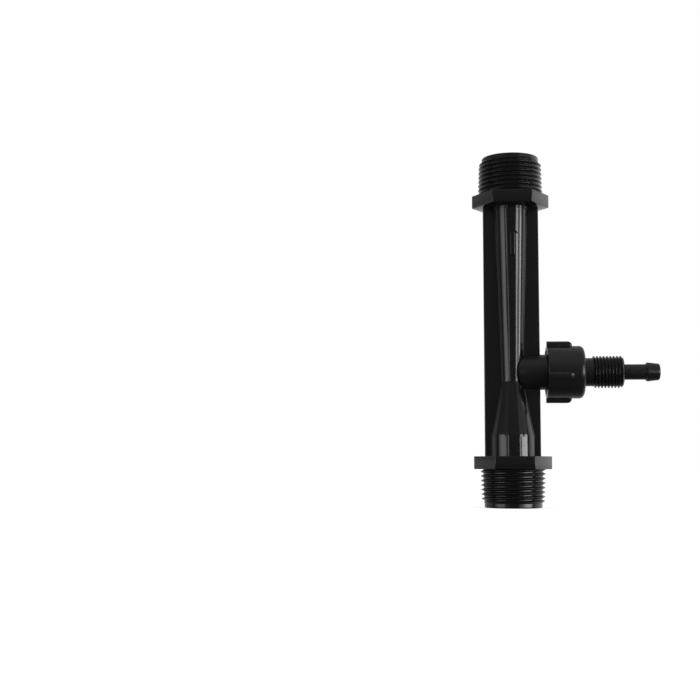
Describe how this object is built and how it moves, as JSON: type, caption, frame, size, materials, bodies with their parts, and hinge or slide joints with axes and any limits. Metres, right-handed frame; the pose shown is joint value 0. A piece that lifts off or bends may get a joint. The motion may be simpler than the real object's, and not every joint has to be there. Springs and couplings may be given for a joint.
{
  "type": "venturi fertilizer injector",
  "caption": "Venturi injector with threaded, hex-collared pipe ends, a waisted tube stiffened by side webs, and a suction port with check ball, ribbed union nut and barbed hose tail.",
  "frame": {"origin": "centre of the inlet bore at the inlet end face, on which the injector stands", "axes": "+Z along the flow from inlet to outlet, +X out of the suction port"},
  "size_m": [0.0751, 0.0274, 0.1435],
  "materials": {
    "gloss_black": "glossy moulded",
    "satin_black": "satin moulded",
    "washer_rubber": "matt",
    "ball_white": "smooth"
  },
  "bodies": {
    "body": {"injector_body": "gloss_black", "seat_washer": "washer_rubber"},
    "ball": {"check_ball": "ball_white"},
    "tail": {"hose_tail": "satin_black"},
    "nut": {"union_nut": "satin_black"}
  },
  "joints": [
    {"name": "ball_lift", "type": "slide", "parent": "body", "child": "ball", "axis": [1, 0, 0], "range_m": [-0.003, 0]},
    {"name": "tail_slide", "type": "slide", "parent": "body", "child": "tail", "axis": [1, 0, 0], "range_m": [0, 0.0075]},
    {"name": "nut_turn", "type": "hinge", "parent": "tail", "child": "nut", "pos_m": [0.0214, 0, 0.0548], "axis": [1, 0, 0], "range_deg": [0, 1800]}
  ],
  "couplings": [
    {"joint": "tail_slide", "follows": "nut_turn", "m_per_rad": 0.00023873}
  ]
}
